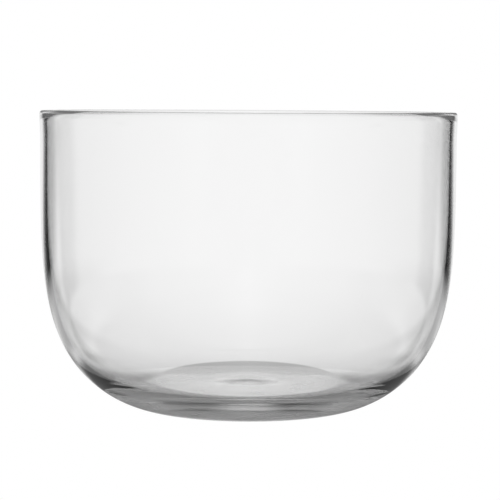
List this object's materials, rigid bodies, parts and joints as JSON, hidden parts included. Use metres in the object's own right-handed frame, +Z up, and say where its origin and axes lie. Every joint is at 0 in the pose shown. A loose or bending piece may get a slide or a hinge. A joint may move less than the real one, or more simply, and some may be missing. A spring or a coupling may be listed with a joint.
{
  "type": "crystallizing dish",
  "caption": "Deep round dish of clear glass with an upright thin wall, a rounded shoulder, a fire-polished rim and a thick base on a narrow foot ring.",
  "frame": {"origin": "centre of the flat foot ring, on the plane the dish stands on", "axes": "+Z up along the dish's axis of revolution; +X and +Y lie in the standing plane and are interchangeable"},
  "size_m": [0.19, 0.19, 0.1359],
  "materials": {
    "clear_glass": "clear, smooth, fire-polished at the rim, very slightly worn on the foot ring"
  },
  "bodies": {
    "root": {"glass_dish": "clear_glass"}
  },
  "joints": []
}
